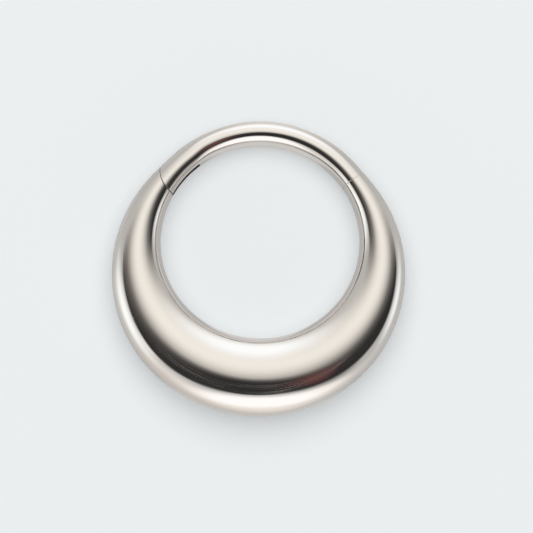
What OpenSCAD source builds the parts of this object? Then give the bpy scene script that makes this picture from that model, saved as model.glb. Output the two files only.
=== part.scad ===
// Hinged crescent hoop for a pierced ear lobe.
// A thick polished crescent sits in front of the lobe and reads as a large
// stretched-lobe ring, while only the slim hinged segment passes through it.
// Drawn in the ring's own plane (hole centre at 0,0, slim side towards +Y,
// ring axis Z), then laid down on its back crest, which is a flat curve.

/* [Ring] */
// Diameter of the round hole
hole_d = 9.5; // [9.3:0.1:9.8]
// Diameter of the outer circle of the crescent
outer_d = 14.0; // [13.8:0.1:14.3]
// How far the outer circle's centre sits below the hole's centre
offset_y = 1.53; // [1.50:0.01:1.60]
// Radial width of the slim segment that passes through the piercing
wire_w = 1.2; // [1.15:0.01:1.30]
// Front to back depth at the middle of the slim segment
wire_depth = 1.3; // [1.2:0.02:1.4]
// Front to back depth at the widest point of the crescent
crescent_depth = 2.5; // [2.3:0.05:2.7]
// Softness of the change from the wire to the crescent's outer circle
blend = 0.10; // [0.06:0.01:0.14]

/* [Hinge] */
// Angle of the hinge pin from the top of the ring, on the left
pin_angle = 50.2; // [49.8:0.2:50.6]
// Distance of the hinge pin from the hole's centre
pin_r0 = 5.15; // [5.13:0.01:5.17]
// Diameter of the hinge pin
pin_d = 0.36; // [0.32:0.01:0.38]
// Radial running clearance of the pin in the knuckle
pin_clear = 0.02; // [0.015:0.005:0.03]
// Radius of the round knuckle about the pin
knuckle_r = 0.93; // [0.90:0.01:0.93]
// Thickness of the knuckle
knuckle_t = 0.36; // [0.32:0.01:0.44]
// Gap between the knuckle and the cheeks of the segment
knuckle_gap = 0.03; // [0.02:0.005:0.04]
// How far the knuckle's inner side is set back, which leaves the slot open along the hole
knuckle_inset = 0.10; // [0.08:0.01:0.11]
// Radius of the segment's rounded end
end_r = 1.14; // [1.12:0.01:1.15]
// Gap at both seams
seam_gap = 0.045; // [0.04:0.005:0.06]

/* [Catch] */
// Angle of the catch seam from the top of the ring, on the right
catch_angle = 54; // [53:0.5:55]
// Diameter of the catch peg
peg_d = 0.40; // [0.36:0.02:0.42]
// How far the peg stands out of the segment's end
peg_len = 0.42; // [0.36:0.02:0.46]
// Clearance round the peg in its socket
peg_clear = 0.05; // [0.04:0.01:0.06]

/* [Hidden] */

STEP = 3;        // angle between lofted sections
SIDES = 28;      // points round each section
EPS = 0.001;

hole_r = hole_d / 2;
outer_r = outer_d / 2;
wire_mid = hole_r + wire_w / 2;                 // middle of the slim wire
low_mid = (hole_r + outer_r + offset_y) / 2;    // middle of the widest section
// depth changes in a straight line from the slim side to the wide side, so
// the front and back crests are flat curves and the ring lies flat
taper = (crescent_depth - wire_depth) / 2 / (wire_mid + low_mid);
depth0 = wire_depth / 2 + taper * wire_mid;     // half depth level with the hole's centre

// outer radius at angle s, measured clockwise from +Y
function big_r(s) = -offset_y * cos(s) + sqrt(outer_r * outer_r - pow(offset_y * sin(s), 2));
function out_r(s) = let (w = hole_r + wire_w, d = big_r(s) - w) w + (d + sqrt(d * d + blend * blend)) / 2;
function mid_r(s) = (hole_r + out_r(s)) / 2;
function half_w(s) = (out_r(s) - hole_r) / 2;
function half_h(s) = depth0 - taper * mid_r(s) * cos(s);

// one elliptical section, as points in space
function section(s) = [for (j = [0 : SIDES - 1])
    let (t = j * 360 / SIDES, r = mid_r(s) + half_w(s) * cos(t))
    [r * sin(s), r * cos(s), half_h(s) * sin(t)]];
// section angles from s0 to s1: both ends and every multiple of STEP between
function stations(s0, s1) = concat([s0],
    [for (k = [floor(s0 / STEP) + 1 : ceil(s1 / STEP) - 1]) k * STEP], [s1]);

// solid swept through the sections from s0 to s1, with flat radial ends
module arc_solid(s0, s1) {
    st = stations(s0, s1);
    n = len(st);
    m = SIDES;
    polyhedron(
        points = [for (s = st) each section(s)],
        faces = concat(
            [[for (j = [0 : m - 1]) j]],
            [for (i = [0 : n - 2]) for (j = [0 : m - 1]) let (k = (j + 1) % m) [i * m + j, (i + 1) * m + j, i * m + k]],
            [for (i = [0 : n - 2]) for (j = [0 : m - 1]) let (k = (j + 1) % m) [(i + 1) * m + j, (i + 1) * m + k, i * m + k]],
            [[for (j = [m - 1 : -1 : 0]) (n - 1) * m + j]]),
        convexity = 6);
}

// hinge pin centre, and the centre of the rounded end about which the cheeks
// of the segment are cut: a little inside the pin, so that the end draws away
// from the crescent as the segment opens
pin = [-pin_r0 * sin(pin_angle), pin_r0 * cos(pin_angle)];
end_c = [-(pin_r0 - 0.22) * sin(pin_angle), (pin_r0 - 0.22) * cos(pin_angle)];
end_dir = 213;   // direction from the rounded end towards the crescent
slot_r = knuckle_r + 0.03;
slot_t = knuckle_t + 2 * knuckle_gap;

// catch peg: starts on the seam and points along the closing movement
peg_r0 = 5.45;
peg_at = [peg_r0 * sin(catch_angle), peg_r0 * cos(catch_angle)];
peg_turn = atan2(peg_at[1] - pin[1], peg_at[0] - pin[0]);
seam_half = seam_gap / 2 / wire_mid * 180 / PI;

// laid down: the ring leans so that its back crest lies level at Z = 0
lean = atan(taper);
function low_z(s) = min([for (p = section(s)) -p[1] * sin(lean) + p[2] * cos(lean)]);
lift = -min([for (s = [0 : STEP : 180]) low_z(s)]);
y_top = mid_r(0) * cos(lean) + sqrt(pow(half_w(0) * cos(lean), 2) + pow(half_h(0) * sin(lean), 2));
y_low = -mid_r(180) * cos(lean) - sqrt(pow(half_w(180) * cos(lean), 2) + pow(half_h(180) * sin(lean), 2));
module lay() { translate([0, -(y_top + y_low) / 2, lift]) rotate([-lean, 0, 0]) children(); }

// fan of directions a0 to a1 about the pin, out to radius r
module fan(a0, a1, r) {
    polygon(concat([pin], [for (k = [0 : 6]) let (a = a0 + (a1 - a0) * k / 6) pin + r * [cos(a), sin(a)]]));
}
module at_pin(r, z0, z1) { translate([pin[0], pin[1], z0]) cylinder(r = r, h = z1 - z0, $fn = 48); }
module at_peg() { translate([peg_at[0], peg_at[1], 0]) rotate([90, 0, peg_turn]) children(); }

// round knuckle and its neck, flush with the ring outside and set back inside
module knuckle() {
    intersection() {
        arc_solid(-72, -33);
        difference() {
            union() {
                at_pin(knuckle_r, -knuckle_t / 2, knuckle_t / 2);
                translate([0, 0, -knuckle_t / 2]) linear_extrude(height = knuckle_t) fan(180, 256, 1.45);
            }
            translate([0, 0, -1]) cylinder(r = hole_r + knuckle_inset, h = 2, $fn = 180);
        }
    }
}

module front_crescent() {
    color([0.80, 0.77, 0.73])
    lay() difference() {
        union() {
            difference() {
                arc_solid(catch_angle + seam_half, 307);
                translate([end_c[0], end_c[1], -2]) cylinder(r = end_r + seam_gap, h = 4, $fn = 96);
            }
            knuckle();
        }
        at_pin(pin_d / 2 + pin_clear, -2, 2);
        // socket for the catch peg
        at_peg() union() {
            translate([0, 0, -1]) cylinder(d = peg_d + 2 * peg_clear, h = 1 + peg_len - peg_d / 2, $fn = 32);
            translate([0, 0, peg_len - peg_d / 2]) sphere(d = peg_d + 2 * peg_clear, $fn = 32);
        }
    }
}

module hinged_segment() {
    color([0.82, 0.79, 0.75])
    lay() difference() {
        union() {
            difference() {
                arc_solid(-69, catch_angle - seam_half);
                // rounded end that faces the crescent
                difference() {
                    translate([end_c[0], end_c[1], 0]) rotate([0, 0, end_dir]) translate([0.3, -1.7, -2]) cube([2.6, 3.4, 4]);
                    translate([end_c[0], end_c[1], -3]) cylinder(r = end_r, h = 6, $fn = 96);
                }
            }
            // catch peg
            at_peg() union() {
                translate([0, 0, -0.35]) cylinder(d = peg_d, h = 0.35 + peg_len - peg_d / 2, $fn = 32);
                translate([0, 0, peg_len - peg_d / 2]) sphere(d = peg_d, $fn = 32);
            }
        }
        // slot between the two cheeks
        translate([0, 0, -slot_t / 2]) linear_extrude(height = slot_t) fan(165, 264, 1.9);
        at_pin(slot_r, -slot_t / 2, slot_t / 2);
        // pin bore: through the back cheek, blind in the front one
        at_pin(pin_d / 2 + 0.01, -2, 0.51);
    }
}

// plain pin, fixed in the cheeks and dressed flush with the back face
module hinge_pin() {
    color([0.78, 0.76, 0.73])
    lay() intersection() {
        at_pin(pin_d / 2, -1.2, 0.50);
        arc_solid(-60, -39);
    }
}

front_crescent();
hinged_segment();
hinge_pin();
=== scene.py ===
import math

import bpy
import numpy as np
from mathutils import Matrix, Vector
from mathutils.kdtree import KDTree


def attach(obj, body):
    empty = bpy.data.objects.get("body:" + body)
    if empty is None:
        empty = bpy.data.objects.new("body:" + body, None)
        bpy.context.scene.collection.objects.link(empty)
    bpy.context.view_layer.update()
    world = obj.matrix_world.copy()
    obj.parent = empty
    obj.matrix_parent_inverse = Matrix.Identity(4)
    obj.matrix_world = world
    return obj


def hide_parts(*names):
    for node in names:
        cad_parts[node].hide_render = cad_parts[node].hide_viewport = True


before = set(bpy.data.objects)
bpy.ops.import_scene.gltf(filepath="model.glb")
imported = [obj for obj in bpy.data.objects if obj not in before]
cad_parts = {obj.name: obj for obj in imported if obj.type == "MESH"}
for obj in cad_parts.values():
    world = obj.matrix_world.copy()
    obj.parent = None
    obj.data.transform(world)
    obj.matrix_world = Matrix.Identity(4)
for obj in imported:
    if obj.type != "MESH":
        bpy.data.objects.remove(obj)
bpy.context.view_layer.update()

scene = bpy.context.scene

# ---------------------------------------------------------------------------
# The ring's form, in millimetres, in the ring's own plane: the hole's centre
# at 0, 0, the slim side towards +Y, the ring's axis Z. s is the angle
# clockwise from +Y, t goes round a section: 0 outside, 90 front, 180 inside.
# ---------------------------------------------------------------------------
HOLE_R, OUTER_R, OFFSET_Y = 4.75, 7.0, 1.53
WIRE_W, WIRE_DEPTH, CRESCENT_DEPTH, BLEND = 1.2, 1.3, 2.5, 0.10
WIRE_MID = HOLE_R + WIRE_W / 2
LOW_MID = (HOLE_R + OUTER_R + OFFSET_Y) / 2
TAPER = (CRESCENT_DEPTH - WIRE_DEPTH) / 2 / (WIRE_MID + LOW_MID)
DEPTH0 = WIRE_DEPTH / 2 + TAPER * WIRE_MID
LEAN = math.atan(TAPER)

PIN_ANGLE, PIN_R0, PIN_R, PIN_CLEAR = 50.2, 5.15, 0.18, 0.02
KNUCKLE_R, KNUCKLE_T, KNUCKLE_INSET = 0.93, 0.36, 0.10
SLOT_R, SLOT_T = 0.96, 0.42
END_R, HINGE_GAP = 1.14, 0.024
CATCH_ANGLE, CATCH_GAP = 54.0, 0.002
PEG_R0, PEG_R, PEG_LEN, PEG_CLEAR = 5.45, 0.20, 0.42, 0.05
PIN = np.array([-PIN_R0 * math.sin(math.radians(PIN_ANGLE)), PIN_R0 * math.cos(math.radians(PIN_ANGLE))])
END_C = PIN * (PIN_R0 - 0.22) / PIN_R0
PEG_AT = np.array([PEG_R0 * math.sin(math.radians(CATCH_ANGLE)), PEG_R0 * math.cos(math.radians(CATCH_ANGLE))])
PEG_TURN = math.atan2(PEG_AT[1] - PIN[1], PEG_AT[0] - PIN[0])


def out_r(s):
    big = -OFFSET_Y * np.cos(s) + np.sqrt(OUTER_R**2 - (OFFSET_Y * np.sin(s)) ** 2)
    w = HOLE_R + WIRE_W
    d = big - w
    return w + (d + np.sqrt(d * d + BLEND * BLEND)) / 2


def section_size(s):
    """middle radius, half width and half depth of the section at angle s"""
    ro = out_r(s)
    mid = (HOLE_R + ro) / 2
    return mid, (ro - HOLE_R) / 2, DEPTH0 - TAPER * mid * np.cos(s)


def skin(s, t, inset=0.0):
    mid, hw, hh = section_size(s)
    r = mid + (hw - inset) * np.cos(t)
    return np.stack([r * np.sin(s), r * np.cos(s), (hh - inset) * np.sin(t)], -1)


def skin_normal(s, t):
    e = 1e-4
    ds = skin(s + e, t) - skin(s - e, t)
    dt = skin(s, t + e) - skin(s, t - e)
    n = np.cross(dt, ds)
    n /= np.linalg.norm(n, axis=-1, keepdims=True)
    mid, hw, hh = section_size(s)
    out = np.stack([np.cos(t) * np.sin(s), np.cos(t) * np.cos(s), np.sin(t)], -1)
    return n * np.sign((n * out).sum(-1, keepdims=True))


def ring_angles(p):
    """s and t of points, and how far they are off the skin (0 is on it)"""
    s = np.arctan2(p[..., 0], p[..., 1])
    r = np.hypot(p[..., 0], p[..., 1])
    mid, hw, hh = section_size(s)
    a, b = (r - mid) / hw, p[..., 2] / hh
    return s, np.arctan2(b, a), np.hypot(a, b) - 1


# the ring lies on its back crest, leaning so that the crest is level
def _low():
    best = 1e9
    for k in range(0, 181, 3):
        s = math.radians(k)
        p = skin(np.full(28, s), np.arange(28) * 2 * math.pi / 28)
        best = min(best, float((-p[:, 1] * math.sin(LEAN) + p[:, 2] * math.cos(LEAN)).min()))
    return best


LIFT = -_low()
_m0, _w0, _h0 = section_size(np.array(0.0))
_m1, _w1, _h1 = section_size(np.array(math.pi))
Y_TOP = _m0 * math.cos(LEAN) + math.hypot(_w0 * math.cos(LEAN), _h0 * math.sin(LEAN))
Y_LOW = -_m1 * math.cos(LEAN) - math.hypot(_w1 * math.cos(LEAN), _h1 * math.sin(LEAN))
SHIFT_Y = float(-(Y_TOP + Y_LOW) / 2)
TURN = np.array([[1, 0, 0], [0, math.cos(LEAN), math.sin(LEAN)], [0, -math.sin(LEAN), math.cos(LEAN)]])


def lay(p):
    return (p @ TURN.T + np.array([0, SHIFT_Y, LIFT])) * 0.001


# ---------------------------------------------------------------------------
# Mesh tools
# ---------------------------------------------------------------------------
def make_mesh(name, verts, faces):
    me = bpy.data.meshes.new(name)
    me.from_pydata([tuple(map(float, v)) for v in verts], [], [tuple(map(int, f)) for f in faces])
    me.update()
    return me


def tri_arrays(me):
    me.calc_loop_triangles()
    v = np.empty(len(me.vertices) * 3)
    me.vertices.foreach_get("co", v)
    f = np.empty(len(me.loop_triangles) * 3, np.int32)
    me.loop_triangles.foreach_get("vertices", f)
    return v.reshape(-1, 3), f.reshape(-1, 3)


def combine(a, b, operation):
    """(verts, faces) of a with b added, taken away or kept in common"""
    oa = bpy.data.objects.new("work_a", make_mesh("work_a", *a))
    ob = bpy.data.objects.new("work_b", make_mesh("work_b", *b))
    for o in (oa, ob):
        scene.collection.objects.link(o)
    m = oa.modifiers.new("cut", "BOOLEAN")
    m.operation, m.solver, m.object = operation, "MANIFOLD", ob
    bpy.context.view_layer.update()
    dg = bpy.context.evaluated_depsgraph_get()
    me = bpy.data.meshes.new_from_object(oa.evaluated_get(dg))
    out = tri_arrays(me)
    for o in (oa, ob):
        old = o.data
        bpy.data.objects.remove(o)
        bpy.data.meshes.remove(old)
    bpy.data.meshes.remove(me)
    if len(out[1]) == 0:
        raise RuntimeError("a cut came out empty")
    return out


def prism(outline, z0, z1):
    """closed solid on an outline given anticlockwise"""
    n = len(outline)
    v = [(x, y, z0) for x, y in outline] + [(x, y, z1) for x, y in outline]
    f = [tuple(range(n))[::-1], tuple(range(n, 2 * n))]
    f += [(i, (i + 1) % n, n + (i + 1) % n, n + i) for i in range(n)]
    return np.array(v), f


def disc(c, r, n=96, a0=0.0, a1=360.0):
    return [(c[0] + r * math.cos(math.radians(a)), c[1] + r * math.sin(math.radians(a)))
            for a in np.linspace(a0, a1, n, endpoint=a1 - a0 < 360)]


def round_rod(at, direction, r, back, ahead, tip_round=True, n=48):
    """rod about an axis in the ring's plane, with a ball end ahead"""
    d = np.array([direction[0], direction[1], 0.0])
    side = np.array([-d[1], d[0], 0.0])
    up = np.array([0.0, 0.0, 1.0])
    o = np.array([at[0], at[1], 0.0])
    rows = [(-back, r)]
    if tip_round:
        rows += [(ahead - r + r * math.sin(a), r * math.cos(a)) for a in np.linspace(0, math.pi / 2, 13)[:-1]]
    else:
        rows += [(ahead, r)]
    v, f = [], []
    for x, rr in rows:
        for k in range(n):
            a = 2 * math.pi * k / n
            v.append(o + d * x + rr * (side * math.cos(a) + up * math.sin(a)))
    for i in range(len(rows) - 1):
        for k in range(n):
            q = (k + 1) % n
            f.append((i * n + k, i * n + q, (i + 1) * n + q, (i + 1) * n + k))
    f.append(tuple(range(n))[::-1])
    if tip_round:
        v.append(o + d * ahead)
        last = (len(rows) - 1) * n
        f += [(last + k, last + (k + 1) % n, len(v) - 1) for k in range(n)]
    else:
        last = (len(rows) - 1) * n
        f.append(tuple(range(last, last + n)))
    return np.array(v), f


def slerp(a, b, k):
    w = np.arccos(np.clip((a * b).sum(-1, keepdims=True), -1, 1))
    w = np.maximum(w, 1e-6)
    return (np.sin((1 - k) * w) * a + np.sin(k * w) * b) / np.sin(w)


def swept(s_first, s_last, face_first, face_last, rho, n_rows, inset=0.0, arc=4):
    """Closed solid from one end of the ring to the other. s_first and s_last are
    the end angles for each t (skin rows follow them), face_* give the outward
    normal of the end face at a point, rho the edge radius for each t."""
    n_t = len(s_first)
    t = np.arange(n_t) * 2 * math.pi / n_t
    rows, norms = [], []
    # skin: rows crowd a little towards the ends, so that the slanted end
    # curves fade out within a few rows
    k = np.linspace(0, 1, n_rows)
    mid_a, mid_b = s_first.mean(), s_last.mean()
    reach = math.radians(7)
    for x in k:
        base = mid_a + (mid_b - mid_a) * x
        wa = max(0.0, 1 - abs(base - mid_a) / reach)
        wb = max(0.0, 1 - abs(base - mid_b) / reach)
        s = base + (s_first - mid_a) * wa + (s_last - mid_b) * wb
        rows.append(skin(s, t, inset))
        norms.append(skin_normal(s, t))
    head, tail = [], []
    for face, out, row in ((face_first, head, 0), (face_last, tail, -1)):
        p, n = rows[row], norms[row]
        c = p - rho[:, None] * n
        m = face(c)
        for j in range(1, arc + 1):
            d = slerp(n, m, j / arc)
            d = np.where((j == arc), m, d)
            out.append((c + rho[:, None] * d, d))
    rows = [r for r, _ in head[::-1]] + rows + [r for r, _ in tail]
    norms = [n for _, n in head[::-1]] + norms + [n for _, n in tail]
    v = np.concatenate(rows)
    nn = np.concatenate(norms)
    f = []
    for i in range(len(rows) - 1):
        a, b = i * n_t, (i + 1) * n_t
        for j in range(n_t):
            q = (j + 1) % n_t
            f.append((a + j, b + j, b + q, a + q))
    half = n_t // 2
    for start, flip in ((0, False), ((len(rows) - 1) * n_t, True)):
        for j in range(half):
            up0, up1 = start + j, start + j + 1
            lo0, lo1 = start + (n_t - j) % n_t, start + (n_t - j - 1) % n_t
            loop = [up0, up1, lo1, lo0]
            loop = [x for i, x in enumerate(loop) if x not in loop[:i]]
            f.append(tuple(loop[::-1]) if flip else tuple(loop))
    # turn the faces outwards if they came out the other way round
    p = v[[x for x in f[len(f) // 2][:3]]]
    mid = len(f) // 2
    n0 = np.cross(v[f[mid][1]] - v[f[mid][0]], v[f[mid][2]] - v[f[mid][0]])
    if (n0 * nn[f[mid][0]]).sum() < 0:
        f = [x[::-1] for x in f]
    return (v, f), (v.copy(), nn)


def end_angle(target, lo, hi, n_t, inset=0.0):
    """angle s for each t at which the skin is at the wanted distance from the
    rounded end's centre; the distance falls from lo to hi"""
    t = np.arange(n_t) * 2 * math.pi / n_t
    a, b = np.full(n_t, lo), np.full(n_t, hi)
    for _ in range(50):
        m = (a + b) / 2
        p = skin(m, t, inset)
        far = np.hypot(p[:, 0] - END_C[0], p[:, 1] - END_C[1]) > target
        a, b = np.where(far, m, a), np.where(far, b, m)
    return (a + b) / 2


def dressed_flank(s, t):
    """1 on the inner flanks of the two cheeks, which are filed after the pin is set"""
    s, t = np.degrees(s), np.abs(np.degrees(t))
    along = np.clip((s + 66) / 1.0, 0, 1) * np.clip((-39.6 - s) / 1.2, 0, 1)
    k = np.clip((t - 116) / 9, 0, 1)
    return along * k * k * (3 - 2 * k)


def cheek_turn(s, t):
    """how far the two cheeks' skin is turned outwards by the filing, in radians"""
    k = np.clip((-31 - np.degrees(s)) / 12, 0, 1)
    return math.radians(8.0) * k * k * (3 - 2 * k) * np.clip(1.6 * np.sin(t), -1, 1)


def worn_crest(s, t):
    """1 along the front of the crescent's lower side, where hairlines gather"""
    s, t = np.abs(np.degrees(s)), np.degrees(t)
    along = np.clip((s - 125) / 22, 0, 1)
    k = np.clip((9 - np.abs(t - 65 + 0.10 * (180 - s))) / 5, 0, 1)
    return along * k * k * (3 - 2 * k)


def finish_mesh(name, solid, known, colour_edges, turned=None):
    """Blender object from a solid, with exact normals on the ring's skin, the
    stored ones along the rounded edges, and smooth ones on turned faces."""
    v, f = solid
    me = make_mesh(name, v, f)
    v, f = tri_arrays(me)
    e1, e2 = v[f[:, 1]] - v[f[:, 0]], v[f[:, 2]] - v[f[:, 0]]
    fn = np.cross(e1, e2)
    area = np.linalg.norm(fn, axis=1)
    bpy.data.meshes.remove(me)
    keep = area > 1e-12
    f, fn, area = f[keep], fn[keep], area[keep]
    fu = fn / area[:, None]
    s, t, off = ring_angles(v)
    sn = skin_normal(s, t)
    kv, kn = known
    tree = KDTree(len(kv))
    for i, p in enumerate(kv):
        tree.insert(p, i)
    tree.balance()
    stored = np.zeros_like(v)
    has = np.zeros(len(v), bool)
    for i, p in enumerate(v):
        _, j, d = tree.find(p)
        if d < 3e-5:
            stored[i], has[i] = kn[j], True
    corner = np.zeros((len(f), 3, 3))
    done = np.zeros((len(f), 3), bool)
    for k in range(3):
        idx = f[:, k]
        ok = has[idx] & ((stored[idx] * fu).sum(1) > 0.60)
        corner[ok, k] = stored[idx][ok]
        done[ok, k] = True
        ok = ~done[:, k] & (np.abs(off[idx]) < 6e-4) & ((sn[idx] * fu).sum(1) > 0.93)
        corner[ok, k] = sn[idx][ok]
        done[ok, k] = True
    # other faces: the mean of the faces about the point that turn less than 28 degrees
    around = {}
    todo = set(f[~done].tolist())
    for i, tri in enumerate(f):
        for q in tri:
            if int(q) in todo:
                around.setdefault(int(q), []).append(i)
    for i, k in np.argwhere(~done):
        near = np.array(around[int(f[i, k])])
        w = area[near] * ((fu[near] @ fu[i]) > math.cos(math.radians(28)))
        n = (fu[near] * w[:, None]).sum(0)
        ln = np.linalg.norm(n)
        corner[i, k] = n / ln if ln > 0 else fu[i]
    if turned is not None:
        cs, ct = s[f], t[f]
        phi = turned(cs, ct) * (np.abs(off[f]) < 2e-3)
        radial = np.stack([np.sin(cs), np.cos(cs), 0 * cs], -1)
        n_r, n_z = (corner * radial).sum(-1), corner[..., 2].copy()
        corner += radial * (n_r * (np.cos(phi) - 1) + n_z * np.sin(phi))[..., None]
        corner[..., 2] = n_z * np.cos(phi) - n_r * np.sin(phi)
    me = make_mesh(name, lay(v), f)
    me.polygons.foreach_set("use_smooth", [True] * len(me.polygons))
    if len(me.polygons) != len(f):
        raise RuntimeError(f"{name}: a face was lost")
    # grid coordinates along (u) and round (v) the ring, for the polishing lines
    uv = me.uv_layers.new(name="ring")
    # the crescent's start anew at the open top, and round the section at the back
    turn = 2 * math.pi
    cs = np.mod(s[f], turn) if np.abs(s).max() > 2.5 else s[f]
    ct = np.mod(t[f] + math.pi / 2, turn)
    cs = np.where((cs.max(1) - cs.min(1) > math.pi)[:, None] & (cs < cs.mean(1)[:, None]), cs + turn, cs)
    ct = np.where((ct.max(1) - ct.min(1) > math.pi)[:, None] & (ct < ct.mean(1)[:, None]), ct + turn, ct)
    uv.data.foreach_set("uv", np.stack([cs / (2 * math.pi), ct / (2 * math.pi)], -1).astype(np.float32).ravel())
    middle = v[f].mean(1)
    cut = ring_angles(middle)[2] < -0.06
    raw = me.attributes.new("machined", "FLOAT", "FACE")
    raw.data.foreach_set("value", cut.astype(np.float32))
    # walls of the slot, and the knuckle's side that stands back in it: these get painted shade, a near-black colour
    # standing in for the dark deep in the slot
    slot_shade_walls = cut & (np.abs(middle[:, 2]) < SLOT_T / 2 + 1e-4) & (middle[:, 0] < 0)
    if np.abs(s).max() > 2.5:
        slot_shade_walls &= np.hypot(middle[:, 0], middle[:, 1]) < HOLE_R + KNUCKLE_INSET + 0.003
    deep = me.attributes.new("deep", "FLOAT", "FACE")
    deep.data.foreach_set("value", slot_shade_walls.astype(np.float32))
    filed = me.attributes.new("dressed", "FLOAT", "POINT")
    filed.data.foreach_set("value", dressed_flank(s, t).astype(np.float32))
    worn = me.attributes.new("worn", "FLOAT", "POINT")
    worn.data.foreach_set("value", worn_crest(s, t).astype(np.float32))
    wear = me.attributes.new("edge_wear", "FLOAT", "POINT")
    wear.data.foreach_set("value", colour_edges(v, s, t).astype(np.float32))
    me.normals_split_custom_set([tuple(x) for x in (corner.reshape(-1, 3) @ TURN.T)])
    me.update()
    o = bpy.data.objects.new(name, me)
    scene.collection.objects.link(o)
    return o


# ---------------------------------------------------------------------------
# Crescent
# ---------------------------------------------------------------------------
RAD = math.radians
N_CRES, N_SEG = 160, 128
EDGE = 0.018          # radius of the edges at the hinge seam
EDGE_CATCH = 0.007    # radius of the edges at the catch seam, outside
EDGE_CATCH_IN = 0.022 # the same on the hole's side


def hole_side(n, start, end):
    """0 outside and 1 on the hole's side of a section, for each of its n points"""
    t = np.abs((np.arange(n) * 360.0 / n + 180) % 360 - 180)
    return np.clip((t - start) / (end - start), 0, 1)


def catch_edges(n):
    return EDGE_CATCH + (EDGE_CATCH_IN - EDGE_CATCH) * hole_side(n, 100, 120)


# at the hinge the edges are sharper and the gap wider on the hole's side; right
# at the outside the gap is wider too, so that the open segment clears the lip
def hinge_edges(n):
    return EDGE * (1 - 0.70 * hole_side(n, 88, 112))


def hinge_gaps(n):
    return HINGE_GAP + 0.016 * hole_side(n, 88, 112) + 0.021 * (1 - hole_side(n, 14, 32))

def to_end(sign):
    def face(p):
        d = p[:, :2] - END_C
        d = d / np.linalg.norm(d, axis=1, keepdims=True) * sign
        return np.concatenate([d, np.zeros((len(p), 1))], 1)
    return face


def to_catch(sign):
    a = RAD(CATCH_ANGLE)
    d = np.array([math.cos(a), -math.sin(a), 0.0]) * sign
    return lambda p: np.tile(d, (len(p), 1))


def angles_at_end(radius, sign, n_t, rho):
    """skin's last row at the rounded end, drawn back by the edge's radius"""
    lo, hi = RAD(-75), RAD(-PIN_ANGLE)
    t = np.arange(n_t) * 2 * math.pi / n_t
    s = end_angle(radius, lo, hi, n_t)
    for _ in range(2):
        p, n = skin(s, t), skin_normal(s, t)
        m = to_end(sign)(p)
        s = end_angle(radius - sign * rho * (1 - (m * n).sum(1)), lo, hi, n_t)
    return s


def angles_at_catch(side, n_t, rho):
    """side +1: the crescent's end, -1: the segment's end"""
    t = np.arange(n_t) * 2 * math.pi / n_t
    s0 = RAD(CATCH_ANGLE)
    p, n = skin(np.full(n_t, s0), t), skin_normal(np.full(n_t, s0), t)
    m = to_catch(-side)(p)
    back = rho * (1 - (m * n).sum(1)) + CATCH_GAP / 2
    return s0 + side * np.arcsin(back / np.hypot(p[:, 0], p[:, 1]))


t_c = np.arange(N_CRES) * 2 * math.pi / N_CRES
# the edge fades out where the knuckle runs through it
_z = np.abs(section_size(np.full(N_CRES, RAD(-60)))[2] * np.sin(t_c))
rho_c = 0.004 + (hinge_edges(N_CRES) - 0.004) * np.clip((_z - 0.19) / 0.12, 0, 1)
s_hinge_c = angles_at_end(END_R + hinge_gaps(N_CRES), -1, N_CRES, rho_c) + 2 * math.pi
s_catch_c = angles_at_catch(1, N_CRES, catch_edges(N_CRES))
# the edge radius can differ from end to end, so the two ends are swept in two
# calls that share one row at the bottom
def swept_ring(s0, s1, face0, face1, rho0, rho1, n_rows, arc=4):
    n_t = len(s0)
    (va, fa), (_, na) = swept(s0, s1, face0, face1, rho0, n_rows, arc=arc)
    (vb, fb), (_, nb) = swept(s0, s1, face0, face1, rho1, n_rows, arc=arc)
    # same layout, so the tail rows come from the second one
    cut = (arc + n_rows // 2) * n_t
    v = np.concatenate([va[:cut], vb[cut:]])
    n = np.concatenate([na[:cut], nb[cut:]])
    return (v, fa), (v.copy(), n)


cres, cres_known = swept_ring(s_catch_c, s_hinge_c, to_catch(-1), to_end(-1),
                              catch_edges(N_CRES), rho_c, 430)

# knuckle: a round tongue about the pin, just under the skin where it leaves the crescent
def fan(a0, a1, r):
    return [tuple(PIN)] + [(PIN[0] + r * math.cos(RAD(a)), PIN[1] + r * math.sin(RAD(a)))
                           for a in np.linspace(a0, a1, 25)]


def knuckle():
    # stays within 0.02 mm of the crescent's end face, measured inside it
    n_t = 96
    s_a = end_angle(END_R + HINGE_GAP + 0.03, RAD(-75), RAD(-PIN_ANGLE), n_t)
    s_b = np.full(n_t, RAD(-33.0))
    body, _ = swept(s_a, s_b, to_end(-1), lambda p: np.tile([math.cos(RAD(-33)), -math.sin(RAD(-33)), 0.0], (len(p), 1)),
                    np.full(n_t, 0.001), 90, inset=0.002, arc=2)
    outline = prism(disc(PIN, KNUCKLE_R, 128), -KNUCKLE_T / 2, KNUCKLE_T / 2)
    neck = prism(fan(180, 256, 1.45), -KNUCKLE_T / 2, KNUCKLE_T / 2)
    shape = combine(outline, neck, "UNION")
    # set back from the hole, which leaves the slot open along the inside
    shape = combine(shape, prism(disc((0, 0), HOLE_R + KNUCKLE_INSET, 360), -1, 1), "DIFFERENCE")
    k = combine(shape, body, "INTERSECT")
    hole = prism(disc(PIN, PIN_R + PIN_CLEAR, 48), -2, 2)
    return combine(k, hole, "DIFFERENCE")


cres = combine(cres, knuckle(), "UNION")
socket = round_rod(PEG_AT, (math.sin(PEG_TURN), -math.cos(PEG_TURN)), PEG_R + PEG_CLEAR, 0.4, PEG_LEN + PEG_CLEAR)
cres = combine(cres, socket, "DIFFERENCE")


def near_seams(v, s, t):
    """1 at the two seams, falling to 0 within a few hundredths of a millimetre"""
    d1 = np.abs(np.hypot(v[:, 0] - END_C[0], v[:, 1] - END_C[1]) - END_R)
    r = np.hypot(v[:, 0], v[:, 1])
    d2 = np.abs(r * np.sin(s - RAD(CATCH_ANGLE)))
    return np.clip(1 - np.minimum(d1, d2) / 0.12, 0, 1) ** 2


crescent = finish_mesh("crescent_ring", cres, cres_known, near_seams)

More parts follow.
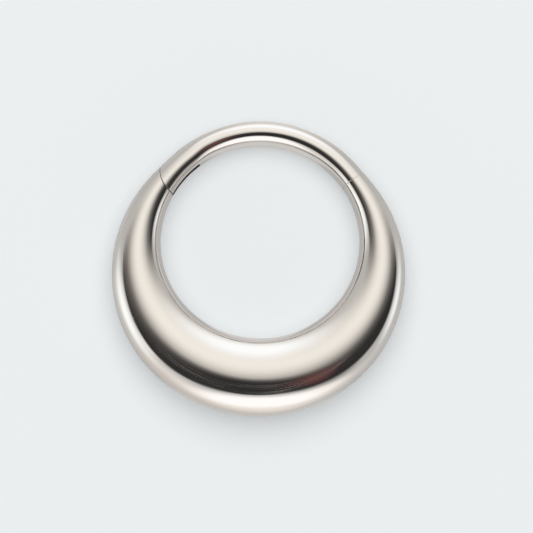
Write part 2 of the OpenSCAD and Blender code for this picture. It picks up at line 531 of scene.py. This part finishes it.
# ---------------------------------------------------------------------------
# Segment
# ---------------------------------------------------------------------------
rho_s = hinge_edges(N_SEG)
s_hinge_s = angles_at_end(END_R, 1, N_SEG, rho_s)
s_catch_s = angles_at_catch(-1, N_SEG, catch_edges(N_SEG))
seg, seg_known = swept_ring(s_hinge_s, s_catch_s, to_end(1), to_catch(1),
                            rho_s, catch_edges(N_SEG), 240)
slot_outline = combine(prism(fan(165, 264, 1.9), -SLOT_T / 2, SLOT_T / 2),
                       prism(disc(PIN, SLOT_R, 128), -SLOT_T / 2, SLOT_T / 2), "UNION")
seg = combine(seg, slot_outline, "DIFFERENCE")
peg = round_rod(PEG_AT, (math.sin(PEG_TURN), -math.cos(PEG_TURN)), PEG_R, 0.35, PEG_LEN)
seg = combine(seg, peg, "UNION")
bore = prism(disc(PIN, PIN_R + 0.010, 48), -2, 0.51)
seg = combine(seg, bore, "DIFFERENCE")
segment = finish_mesh("segment_wire", seg, seg_known, near_seams, turned=cheek_turn)

# ---------------------------------------------------------------------------
# Pin: its end is dressed flush with the back of the segment
# ---------------------------------------------------------------------------
body, _ = swept(np.full(128, RAD(-60.0)), np.full(128, RAD(-39.0)),
                lambda p: np.tile([-math.cos(RAD(-60)), math.sin(RAD(-60)), 0.0], (len(p), 1)),
                lambda p: np.tile([math.cos(RAD(-39)), -math.sin(RAD(-39)), 0.0], (len(p), 1)),
                np.full(128, 0.002), 120, arc=2)
pin_solid = combine(prism(disc(PIN, PIN_R, 64), -1.2, 0.50), body, "INTERSECT")
pin = finish_mesh("pin_end", pin_solid, (np.zeros((1, 3)), np.zeros((1, 3))), near_seams)

for piece, body_name, node, slot in ((crescent, "crescent", "front_crescent", "crescent_steel"),
                                     (segment, "segment", "hinged_segment", "segment_steel"),
                                     (pin, "segment", "hinge_pin", "pin_steel")):
    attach(piece, body_name)
    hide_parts(node)


# ---------------------------------------------------------------------------
# Materials
# ---------------------------------------------------------------------------
def steel(name, tint, rough, lines, cells, seed):
    """Mirror-polished warm steel: fine polishing lines along the ring, faint
    haze patches, slightly rubbed edges at the seams, and painted shade
    (a near-black colour) on the slot's walls."""
    mat = bpy.data.materials.new(name)
    mat.use_nodes = True
    nt = mat.node_tree
    nt.nodes.clear()
    out = nt.nodes.new("ShaderNodeOutputMaterial")
    bsdf = nt.nodes.new("ShaderNodeBsdfPrincipled")
    nt.links.new(bsdf.outputs["BSDF"], out.inputs["Surface"])
    bsdf.inputs["Metallic"].default_value = 1.0

    uv = nt.nodes.new("ShaderNodeUVMap")
    uv.uv_map = "ring"
    stretch = nt.nodes.new("ShaderNodeMapping")
    stretch.inputs["Scale"].default_value = (7.0, cells, 1.0)
    stretch.inputs["Location"].default_value = (seed, seed * 1.7, 0.0)
    nt.links.new(uv.outputs["UV"], stretch.inputs["Vector"])
    fine = nt.nodes.new("ShaderNodeTexNoise")
    fine.inputs["Scale"].default_value = 1.0
    fine.inputs["Detail"].default_value = 4.0
    fine.inputs["Roughness"].default_value = 0.6
    nt.links.new(stretch.outputs["Vector"], fine.inputs["Vector"])

    obj = nt.nodes.new("ShaderNodeTexCoord")
    haze = nt.nodes.new("ShaderNodeTexNoise")
    haze.inputs["Scale"].default_value = 900.0
    haze.inputs["Detail"].default_value = 3.0
    nt.links.new(obj.outputs["Object"], haze.inputs["Vector"])

    wear = nt.nodes.new("ShaderNodeAttribute")
    wear.attribute_name = "edge_wear"

    # roughness: base, plus haze, plus rubbed edges
    r1 = nt.nodes.new("ShaderNodeMapRange")
    r1.inputs["From Min"].default_value, r1.inputs["From Max"].default_value = 0.35, 0.70
    r1.inputs["To Min"].default_value, r1.inputs["To Max"].default_value = rough, rough + 0.035
    nt.links.new(haze.outputs["Fac"], r1.inputs["Value"])
    r2 = nt.nodes.new("ShaderNodeMath")
    r2.operation = "MULTIPLY_ADD"
    r2.inputs[1].default_value = 0.10
    nt.links.new(wear.outputs["Fac"], r2.inputs[0])
    nt.links.new(r1.outputs["Result"], r2.inputs[2])
    machined = nt.nodes.new("ShaderNodeAttribute")
    machined.attribute_name = "machined"
    dressed = nt.nodes.new("ShaderNodeAttribute")
    dressed.attribute_name = "dressed"
    r3 = nt.nodes.new("ShaderNodeMath")
    r3.operation = "MULTIPLY_ADD"
    r3.inputs[1].default_value = 0.40
    nt.links.new(machined.outputs["Fac"], r3.inputs[0])
    nt.links.new(r2.outputs[0], r3.inputs[2])
    r4 = nt.nodes.new("ShaderNodeMath")
    r4.operation = "MULTIPLY_ADD"
    r4.inputs[1].default_value = 0.10
    nt.links.new(dressed.outputs["Fac"], r4.inputs[0])
    nt.links.new(r3.outputs[0], r4.inputs[2])
    # sparse hairlines along the ring, left by the last polishing
    drawn = nt.nodes.new("ShaderNodeMapping")
    drawn.inputs["Scale"].default_value = (11.0, cells * 1.7, 1.0)
    drawn.inputs["Location"].default_value = (seed * 2.3, seed * 0.9, 4.0)
    nt.links.new(uv.outputs["UV"], drawn.inputs["Vector"])
    hair = nt.nodes.new("ShaderNodeTexNoise")
    hair.inputs["Scale"].default_value = 1.0
    hair.inputs["Detail"].default_value = 2.0
    nt.links.new(drawn.outputs["Vector"], hair.inputs["Vector"])
    sparse = nt.nodes.new("ShaderNodeMapRange")
    sparse.inputs["From Min"].default_value, sparse.inputs["From Max"].default_value = 0.46, 0.62
    sparse.inputs["To Min"].default_value, sparse.inputs["To Max"].default_value = 0.0, 0.23
    nt.links.new(hair.outputs["Fac"], sparse.inputs["Value"])
    worn = nt.nodes.new("ShaderNodeAttribute")
    worn.attribute_name = "worn"
    r5 = nt.nodes.new("ShaderNodeMath")
    r5.operation = "MULTIPLY_ADD"
    nt.links.new(sparse.outputs["Result"], r5.inputs[0])
    nt.links.new(worn.outputs["Fac"], r5.inputs[1])
    nt.links.new(r4.outputs[0], r5.inputs[2])
    nt.links.new(r5.outputs[0], bsdf.inputs["Roughness"])

    # colour: a very slight drift between two warm steels
    mix = nt.nodes.new("ShaderNodeMix")
    mix.data_type = "RGBA"
    mix.inputs["A"].default_value = (*tint, 1)
    mix.inputs["B"].default_value = (tint[0] * 0.975, tint[1] * 0.972, tint[2] * 0.965, 1)
    nt.links.new(haze.outputs["Fac"], mix.inputs["Factor"])
    dark = nt.nodes.new("ShaderNodeMix")
    dark.data_type = "RGBA"
    dark.inputs["B"].default_value = (0.44, 0.42, 0.40, 1)
    nt.links.new(machined.outputs["Fac"], dark.inputs["Factor"])
    # the filed flanks keep fine brownish marks
    marks = nt.nodes.new("ShaderNodeMapRange")
    marks.inputs["From Min"].default_value, marks.inputs["From Max"].default_value = 0.40, 0.60
    nt.links.new(fine.outputs["Fac"], marks.inputs["Value"])
    filed = nt.nodes.new("ShaderNodeMath")
    filed.operation = "MULTIPLY"
    nt.links.new(marks.outputs["Result"], filed.inputs[0])
    nt.links.new(dressed.outputs["Fac"], filed.inputs[1])
    marked = nt.nodes.new("ShaderNodeMix")
    marked.data_type = "RGBA"
    marked.inputs["B"].default_value = (tint[0] * 0.92, tint[1] * 0.87, tint[2] * 0.86, 1)
    nt.links.new(filed.outputs[0], marked.inputs["Factor"])
    nt.links.new(mix.outputs["Result"], marked.inputs["A"])
    nt.links.new(marked.outputs["Result"], dark.inputs["A"])
    # painted shade: the slot's walls are coloured near-black to stand in for the shade deep in the slot
    slot_shade = nt.nodes.new("ShaderNodeAttribute")
    slot_shade.attribute_name = "deep"
    slot_shaded = nt.nodes.new("ShaderNodeMix")
    slot_shaded.data_type = "RGBA"
    slot_shaded.inputs["B"].default_value = (0.10, 0.09, 0.085, 1)
    nt.links.new(slot_shade.outputs["Fac"], slot_shaded.inputs["Factor"])
    nt.links.new(dark.outputs["Result"], slot_shaded.inputs["A"])
    nt.links.new(slot_shaded.outputs["Result"], bsdf.inputs["Base Color"])

    # fine lines everywhere, coarser ones where the flank is dressed or the crest is worn
    deep = nt.nodes.new("ShaderNodeMath")
    deep.operation = "MULTIPLY_ADD"
    deep.inputs[1].default_value = 5.0
    deep.inputs[2].default_value = 1.0
    both = nt.nodes.new("ShaderNodeMath")
    both.operation = "MULTIPLY_ADD"
    both.inputs[1].default_value = 0.35
    nt.links.new(worn.outputs["Fac"], both.inputs[0])
    nt.links.new(dressed.outputs["Fac"], both.inputs[2])
    nt.links.new(both.outputs[0], deep.inputs[0])
    height = nt.nodes.new("ShaderNodeMath")
    height.operation = "MULTIPLY"
    nt.links.new(fine.outputs["Fac"], height.inputs[0])
    nt.links.new(deep.outputs[0], height.inputs[1])
    bump = nt.nodes.new("ShaderNodeBump")
    bump.inputs["Strength"].default_value = 1.0
    bump.inputs["Distance"].default_value = lines
    nt.links.new(height.outputs[0], bump.inputs["Height"])
    nt.links.new(bump.outputs["Normal"], bsdf.inputs["Normal"])
    return mat


TINT = (0.800, 0.765, 0.728)
crescent.data.materials.append(steel("crescent_polish", TINT, 0.045, 0.0000009, 150.0, 0.0))
segment.data.materials.append(steel("segment_polish", TINT, 0.040, 0.0000006, 60.0, 3.3))
pin.data.materials.append(steel("pin_polish", (0.76, 0.73, 0.70), 0.11, 0.0000006, 60.0, 7.1))

# ---------------------------------------------------------------------------
# Floor: a plain pale sheet
# ---------------------------------------------------------------------------
FLOOR_ALBEDO = (0.800, 0.828, 0.838)
FLOOR_GLOW = (0.2975, 0.3092, 0.3124)      # light that the sheet lets through from below
# painted reflection shade: where the metal reflects it (glossy rays only), the sheet is painted dimmer and warmer,
# slightly along the middle and more at both sides
IN_METAL_MID, IN_METAL_SIDE = (0.916, 0.880, 0.875), (0.680, 0.655, 0.650)
SHEET_FADE = (0.0072, 0.0100)
n = 96
floor_v = [(0, 0, -0.0000045)] + [(0.9 * math.cos(2 * math.pi * k / n), 0.9 * math.sin(2 * math.pi * k / n), -0.0000045) for k in range(n)]
floor_f = [(0, 1 + k, 1 + (k + 1) % n) for k in range(n)]
floor = bpy.data.objects.new("floor_sheet", make_mesh("floor_sheet", floor_v, floor_f))
scene.collection.objects.link(floor)
fm = bpy.data.materials.new("floor_paper")
fm.use_nodes = True
nt = fm.node_tree
nt.nodes.clear()
out = nt.nodes.new("ShaderNodeOutputMaterial")
paper = nt.nodes.new("ShaderNodeBsdfDiffuse")
glow = nt.nodes.new("ShaderNodeEmission")
in_metal = nt.nodes.new("ShaderNodeLightPath").outputs["Is Glossy Ray"]
side = nt.nodes.new("ShaderNodeNewGeometry")
place = nt.nodes.new("ShaderNodeSeparateXYZ")
nt.links.new(side.outputs["Position"], place.inputs[0])
level = nt.nodes.new("ShaderNodeMath")
level.operation = "SUBTRACT"
nt.links.new(place.outputs["Y"], level.inputs[0])
level.inputs[1].default_value = SHIFT_Y * 0.001
ratio = nt.nodes.new("ShaderNodeMath")
ratio.operation = "DIVIDE"
nt.links.new(place.outputs["X"], ratio.inputs[0])
nt.links.new(level.outputs[0], ratio.inputs[1])
off_middle = nt.nodes.new("ShaderNodeMath")
off_middle.operation = "ABSOLUTE"
nt.links.new(ratio.outputs[0], off_middle.inputs[0])
to_side = nt.nodes.new("ShaderNodeMapRange")
to_side.interpolation_type = "SMOOTHSTEP"
to_side.inputs["From Min"].default_value, to_side.inputs["From Max"].default_value = 0.42, 0.80
nt.links.new(off_middle.outputs[0], to_side.inputs["Value"])


def mixed(factor, a, b):
    nd = nt.nodes.new("ShaderNodeMix")
    nd.data_type = "RGBA"
    nt.links.new(factor, nd.inputs["Factor"])
    for x, name in ((a, "A"), (b, "B")):
        if isinstance(x, tuple):
            nd.inputs[name].default_value = (*x, 1)
        else:
            nt.links.new(x, nd.inputs[name])
    return nd.outputs["Result"]


# painted reflection shade: glossy rays see the sheet's colours multiplied by the IN_METAL tones
for socket, tone in ((paper.inputs["Color"], FLOOR_ALBEDO), (glow.inputs["Color"], FLOOR_GLOW)):
    mirrored = mixed(to_side.outputs["Result"], *[tuple(a * b for a, b in zip(tone, k)) for k in (IN_METAL_MID, IN_METAL_SIDE)])
    nt.links.new(mixed(in_metal, tone, mirrored), socket)
lit = nt.nodes.new("ShaderNodeAddShader")
nt.links.new(paper.outputs["BSDF"], lit.inputs[0])
nt.links.new(glow.outputs["Emission"], lit.inputs[1])
clear = nt.nodes.new("ShaderNodeBsdfTransparent")
both = nt.nodes.new("ShaderNodeMixShader")
# in reflections the sheet ends softly a short way out, so that the side panels
# reach down to the metal's flanks
out_far = nt.nodes.new("ShaderNodeVectorMath")
out_far.operation = "LENGTH"
nt.links.new(side.outputs["Position"], out_far.inputs[0])
fade = nt.nodes.new("ShaderNodeMapRange")
fade.interpolation_type = "SMOOTHSTEP"
fade.inputs["From Min"].default_value, fade.inputs["From Max"].default_value = SHEET_FADE
nt.links.new(out_far.outputs["Value"], fade.inputs["Value"])
seen = nt.nodes.new("ShaderNodeMath")
seen.operation = "MULTIPLY"
nt.links.new(fade.outputs["Result"], seen.inputs[0])
nt.links.new(in_metal, seen.inputs[1])
gone = nt.nodes.new("ShaderNodeMath")
gone.operation = "MAXIMUM"
nt.links.new(seen.outputs[0], gone.inputs[0])
nt.links.new(side.outputs["Backfacing"], gone.inputs[1])
nt.links.new(gone.outputs[0], both.inputs["Fac"])
nt.links.new(lit.outputs["Shader"], both.inputs[1])
nt.links.new(clear.outputs["BSDF"], both.inputs[2])
nt.links.new(both.outputs["Shader"], out.inputs["Surface"])
floor.data.materials.append(fm)

# ---------------------------------------------------------------------------
# Camera
# ---------------------------------------------------------------------------
EL, AZ = RAD(78.87), RAD(2.7)
RIGHT = np.array([math.cos(AZ), math.sin(AZ), 0.0])
BACK = np.array([math.sin(AZ) * math.cos(EL), -math.cos(AZ) * math.cos(EL), math.sin(EL)])
UP = np.cross(BACK, RIGHT)
DIST, SENSOR = 0.300, 0.036
MM_PER_PX = 0.04778
FOCAL = SENSOR * DIST / (533 * MM_PER_PX * 0.001)
AIM_PX = (260.0, 242.0)          # where the hole's centre comes in the picture
hole = np.array([0.0, SHIFT_Y, LIFT]) * 0.001
# the picture's centre (266.5, 266.5) is this far from the hole's centre
target = hole + (RIGHT * (266.5 - AIM_PX[0]) - UP * (266.5 - AIM_PX[1])) * MM_PER_PX * 0.001
cam_data = bpy.data.cameras.new("camera")
cam = bpy.data.objects.new("camera", cam_data)
scene.collection.objects.link(cam)
cam.location = Vector(target + BACK * DIST)
cam.rotation_mode = "QUATERNION"
cam.rotation_quaternion = (-Vector(BACK)).to_track_quat("-Z", "Y")
cam_data.sensor_width = SENSOR * 1000
cam_data.lens = FOCAL * 1000
cam_data.clip_start, cam_data.clip_end = 0.01, 10.0
scene.camera = cam

# ---------------------------------------------------------------------------
# Studio: soft boxes and dark gaps, painted on the sky by direction. A
# direction is given as the tilt (x to the right, y up the picture) of a mirror
# that would show it to the camera's place. Later shapes lie over earlier ones.
# name, roundness, x, y, half width, half height, softness, bend, slant, r, g, b
# ---------------------------------------------------------------------------
ROOM_ON_SHEET = 0.12
LAMP_FAR, LAMP_HALF, LAMP_TILT, LAMP_POWER = 0.45, 40.0, 9.0, 1.87
ROOM = (0.586, 0.589, 0.591)
LAYERS = [
    ("lower_side", 2, -0.262, -0.641, 0.547, 0.132, 0.309, 0.502, -0.403, 0.721, 0.687, 0.661),
    ("upper_rim", 2, 0.003, 0.142, 0.484, 0.199, 0.159, -0.484, 0.255, 1.358, 1.337, 1.323),
    ("left_low_glow", 2, -0.629, 0.487, 0.309, 0.564, 0.577, 0.369, 0.813, 0.766, 0.786, 0.802),
    ("right_low_glow", 2, 0.259, -0.394, 0.204, 0.092, 0.449, 0.200, -0.162, 1.081, 1.059, 1.024),
    ("low_fill", 2, -0.043, -0.555, 0.482, 0.151, 0.998, 0.731, -0.251, 1.087, 1.049, 0.999),
    ("low_box", 2, 0.018, -0.400, 0.314, 0.153, 0.402, -0.551, -0.059, 1.303, 1.295, 1.330),
    ("high_left_fill", 2, 0.031, 0.457, 0.533, 0.431, 0.064, -0.420, 0.022, 1.505, 1.600, 1.680),
    ("dark_gap", 3, 0.038, 0.320, 0.536, 0.528, 0.050, -0.370, -0.018, 0.034, 0.034, 0.034),
    ("gap_glow", 2, -0.102, 0.443, 0.488, 0.319, 0.664, 0.204, 0.041, 0.201, 0.182, 0.166),
    ("wing_fade", 2, -0.181, 0.576, 0.960, 0.191, 0.552, -0.507, 0.193, 0.588, 0.584, 0.574),
    ("funnel", 2, 0.061, 0.612, 0.332, 0.361, 1.000, 0.159, -0.037, 0.872, 0.845, 0.805),
    ("funnel_low", 2, 0.036, 0.347, 0.216, 0.197, 0.944, 0.470, 0.022, 1.102, 1.080, 1.031),
    ("gap_core", 2, 0.094, -0.064, 0.290, 0.117, 0.437, -0.200, -0.411, 0.034, 0.032, 0.034),
    ("top_box", 2, 0.036, 0.624, 0.244, 0.144, 0.696, -0.320, -0.056, 1.244, 1.298, 1.347),
    ("left_panel", 2, -0.637, -0.031, 0.114, 0.210, 0.883, -0.856, -0.543, 1.259, 1.296, 1.308),
    ("right_panel", 2, 0.696, 0.012, 0.072, 0.192, 0.922, -0.283, 0.499, 1.137, 1.181, 1.202),
    ("warm_streak", 2, 0.163, -0.062, 0.068, 0.072, 0.889, -0.213, -0.605, 0.168, 0.072, 0.067),
]

world = bpy.data.worlds.new("studio")
scene.world = world
world.use_nodes = True
wt = world.node_tree
wt.nodes.clear()


def math_node(op, a, b=None, c=None):
    nd = wt.nodes.new("ShaderNodeMath")
    nd.operation = op
    for i, x in enumerate((a, b, c)):
        if x is None:
            continue
        if isinstance(x, (int, float)):
            nd.inputs[i].default_value = float(x)
        else:
            wt.links.new(x, nd.inputs[i])
    return nd.outputs[0]


def soft_edge(value, soft):
    nd = wt.nodes.new("ShaderNodeMapRange")
    nd.interpolation_type = "SMOOTHSTEP"
    nd.inputs["From Min"].default_value, nd.inputs["From Max"].default_value = -soft, soft
    wt.links.new(value, nd.inputs["Value"])
    return nd.outputs["Result"]


def along(axis):
    nd = wt.nodes.new("ShaderNodeVectorMath")
    nd.operation = "DOT_PRODUCT"
    wt.links.new(sky_dir, nd.inputs[0])
    nd.inputs[1].default_value = tuple(float(x) for x in axis)
    return nd.outputs["Value"]


sky_dir = wt.nodes.new("ShaderNodeTexCoord").outputs["Generated"]
dx, dy, dz = along(RIGHT), along(UP), along(BACK)
length = math_node("SQRT", math_node("MULTIPLY_ADD", dz, 2.0, 2.0004))
mx, my = math_node("DIVIDE", dx, length), math_node("DIVIDE", dy, length)

shade = wt.nodes.new("ShaderNodeRGB")
shade.outputs[0].default_value = (*ROOM, 1)
colour = shade.outputs[0]
for name, power, cx, cy, rx, ry, soft, bend, slant, lr, lg, lb in LAYERS:
    u = math_node("SUBTRACT", mx, cx)
    v = math_node("SUBTRACT", my, cy)
    if bend:
        v = math_node("SUBTRACT", v, math_node("MULTIPLY", math_node("MULTIPLY", u, u), bend))
    if slant:
        v = math_node("SUBTRACT", v, math_node("MULTIPLY", u, slant))
    u = math_node("POWER", math_node("ABSOLUTE", math_node("DIVIDE", u, rx)), power)
    v = math_node("POWER", math_node("ABSOLUTE", math_node("DIVIDE", v, ry)), power)
    q = math_node("POWER", math_node("ADD", u, v), 1.0 / power)
    m = soft_edge(math_node("SUBTRACT", 1.0, q), soft)
    mixer = wt.nodes.new("ShaderNodeMix")
    mixer.data_type = "RGBA"
    mixer.label = name
    wt.links.new(m, mixer.inputs["Factor"])
    wt.links.new(colour, mixer.inputs["A"])
    mixer.inputs["B"].default_value = (lr, lg, lb, 1)
    colour = mixer.outputs["Result"]

sky = wt.nodes.new("ShaderNodeBackground")
wt.links.new(colour, sky.inputs["Color"])
plain = wt.nodes.new("ShaderNodeBackground")
plain.inputs["Color"].default_value = (0.838, 0.871, 0.880, 1)
path = wt.nodes.new("ShaderNodeLightPath")
# the room lights the sheet only weakly: most of its light is the overhead lamp's
onto_sheet = math_node("MINIMUM", path.outputs["Diffuse Depth"], 1.0)
wt.links.new(math_node("SUBTRACT", 1.0, math_node("MULTIPLY", onto_sheet, 1.0 - ROOM_ON_SHEET)), sky.inputs["Strength"])
pick = wt.nodes.new("ShaderNodeMixShader")
wt.links.new(path.outputs["Is Camera Ray"], pick.inputs["Fac"])
wt.links.new(sky.outputs["Background"], pick.inputs[1])
wt.links.new(plain.outputs["Background"], pick.inputs[2])
wout = wt.nodes.new("ShaderNodeOutputWorld")
wt.links.new(pick.outputs["Shader"], wout.inputs["Surface"])

# overhead lamp: a wide soft disc, a little up the picture from straight above
lamp_data = bpy.data.lights.new("overhead_soft", "AREA")
lamp_data.shape = "DISK"
lamp_data.size = 2 * LAMP_FAR * math.tan(RAD(LAMP_HALF))
lamp_data.energy = LAMP_POWER
lamp_data.color = (1.0, 1.0, 1.0)
lamp = bpy.data.objects.new("overhead_soft", lamp_data)
scene.collection.objects.link(lamp)
_away = np.array([0.0, math.sin(RAD(LAMP_TILT)), math.cos(RAD(LAMP_TILT))])
lamp.location = Vector(_away * LAMP_FAR)
lamp.rotation_mode = "QUATERNION"
lamp.rotation_quaternion = (-Vector(_away)).to_track_quat("-Z", "Y")
lamp.visible_glossy = False
lamp.visible_camera = False

scene.view_settings.view_transform = "Standard"
scene.view_settings.look = "None"
scene.view_settings.exposure = 0.0
scene.view_settings.gamma = 1.0
